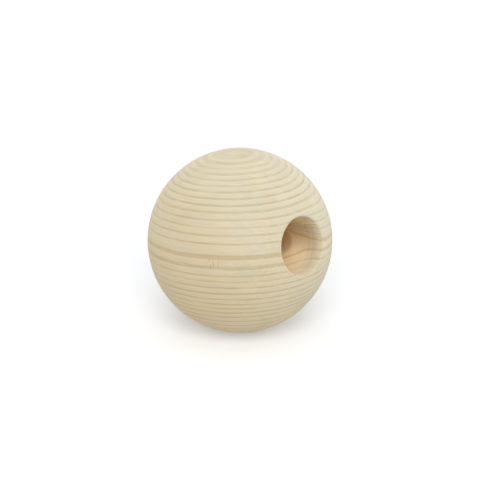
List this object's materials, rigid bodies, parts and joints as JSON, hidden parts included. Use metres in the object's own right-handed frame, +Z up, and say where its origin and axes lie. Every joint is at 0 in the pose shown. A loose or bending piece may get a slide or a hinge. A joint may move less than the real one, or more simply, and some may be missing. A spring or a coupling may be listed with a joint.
{
  "type": "dowel cap",
  "caption": "Turned softwood ball with a blind round bore, to cap the end of a dowel.",
  "frame": {"origin": "centre of the ball", "axes": "+Z up as the ball lies; +X is the level direction that the bore opens towards, and the bore's axis rises 11 degrees above +X"},
  "size_m": [0.0631, 0.0634, 0.0636],
  "materials": {
    "softwood": "fine sanded, unfinished"
  },
  "bodies": {
    "root": {"dowel_cap": "softwood"}
  },
  "joints": []
}
